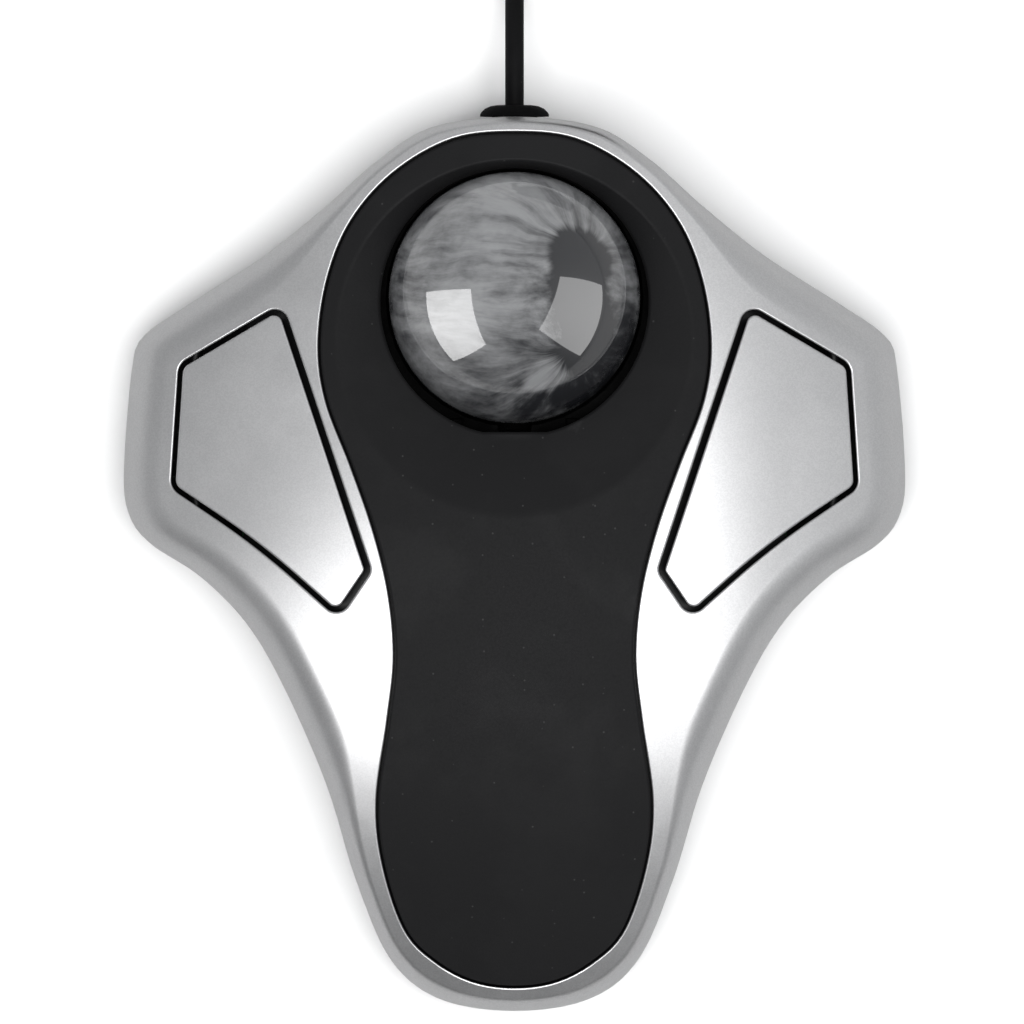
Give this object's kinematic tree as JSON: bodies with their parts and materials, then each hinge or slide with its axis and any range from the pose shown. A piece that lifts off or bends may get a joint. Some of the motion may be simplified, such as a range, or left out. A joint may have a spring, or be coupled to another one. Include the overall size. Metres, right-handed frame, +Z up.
{
  "type": "trackball mouse",
  "caption": "Two-winged desktop trackball: a large ball in a black funnel ring, side click buttons flush in silver wings, and a corded USB plug.",
  "frame": {"origin": "on the table under the middle of the housing (free lead left out)", "axes": "+Y towards the rear, where the lead leaves; +X to the right; +Z up"},
  "size_m": [0.1306, 0.2295, 0.0467],
  "materials": {
    "silver_paint": "satin metallic silver paint on plastic",
    "button_silver": "satin metallic silver paint on plastic",
    "soft_black": "soft-feel matt black",
    "base_black": "fine-textured black moulding",
    "ball_pearl": "polished pearly grey resin with streaks",
    "dark_plastic": "plain black moulding",
    "bearing_steel": "polished steel",
    "clear_plastic": "clear moulded optic",
    "chip_black": "matt black resin",
    "led_red": "clear red",
    "board_green": "green solder mask",
    "screw_steel": "zinc-plated steel",
    "cream_plastic": "cream nylon",
    "cord_black": "satin black PVC",
    "rubber_black": "matt black rubber",
    "label_grey": "blank foil label",
    "plug_black": "satin black moulding",
    "plug_steel": "nickel-plated steel"
  },
  "bodies": {
    "housing": {"top_shell": "silver_paint", "palm_panel": "soft_black", "base": "base_black", "ball_cup": "dark_plastic", "ball_bearing_left": "bearing_steel", "ball_bearing_right": "bearing_steel", "ball_bearing_rear": "bearing_steel", "sensor_lens": "clear_plastic", "sensor_chip": "chip_black", "sensor_led": "led_red", "sensor_board": "board_green", "sensor_link": "chip_black", "main_board": "board_green", "controller_chip": "chip_black", "crystal": "screw_steel", "capacitor": "chip_black", "cable_header": "cream_plastic", "cable_plug": "cream_plastic", "inner_lead": "cord_black", "left_switch": "chip_black", "right_switch": "chip_black", "base_label": "label_grey", "strain_relief": "rubber_black", "usb_cord": "cord_black", "usb_cord_coil": "cord_black", "usb_cord_tail": "cord_black", "cord_tie": "rubber_black", "usb_plug_body": "plug_black", "usb_plug_shell": "plug_steel", "usb_plug_insert": "cream_plastic", "rear_foot": "rubber_black", "front_left_foot": "rubber_black", "front_right_foot": "rubber_black", "left_wing_foot": "rubber_black", "right_wing_foot": "rubber_black", "base_screw_front": "screw_steel", "base_screw_rear_left": "screw_steel", "base_screw_rear_right": "screw_steel", "base_screw_middle_left": "screw_steel", "base_screw_middle_right": "screw_steel", "cup_screw_left": "screw_steel", "cup_screw_right": "screw_steel", "main_board_screw_left": "screw_steel", "main_board_screw_right": "screw_steel", "main_board_screw_front": "screw_steel", "sensor_screw_left": "screw_steel", "sensor_screw_right": "screw_steel"},
    "ball": {"ball": "ball_pearl"},
    "left_button": {"left_button": "button_silver"},
    "right_button": {"right_button": "button_silver"},
    "left_plunger": {"left_switch_plunger": "led_red"},
    "right_plunger": {"right_switch_plunger": "led_red"}
  },
  "joints": [
    {"name": "ball_roll", "type": "hinge", "parent": "housing", "child": "ball", "pos_m": [0, 0.0426, 0.0267], "axis": [1, 0, 0], "continuous": true},
    {"name": "left_button_press", "type": "hinge", "parent": "housing", "child": "left_button", "pos_m": [-0.05089, 0.022, 0.0168], "axis": [0, 1, 0], "range_deg": [0, 2.2], "stiffness_Nm_per_rad": 0.25, "springref_deg": -1.15},
    {"name": "right_button_press", "type": "hinge", "parent": "housing", "child": "right_button", "pos_m": [0.05089, 0.022, 0.0168], "axis": [0, -1, 0], "range_deg": [0, 2.2], "stiffness_Nm_per_rad": 0.25, "springref_deg": -1.15},
    {"name": "left_plunger_travel", "type": "slide", "parent": "housing", "child": "left_plunger", "axis": [0, 0, -1], "range_m": [0, 0.0006]},
    {"name": "right_plunger_travel", "type": "slide", "parent": "housing", "child": "right_plunger", "axis": [0, 0, -1], "range_m": [0, 0.0006]}
  ],
  "couplings": [
    {"joint": "left_plunger_travel", "follows": "left_button_press", "m_per_rad": 0.014893},
    {"joint": "right_plunger_travel", "follows": "right_button_press", "m_per_rad": 0.014893}
  ]
}
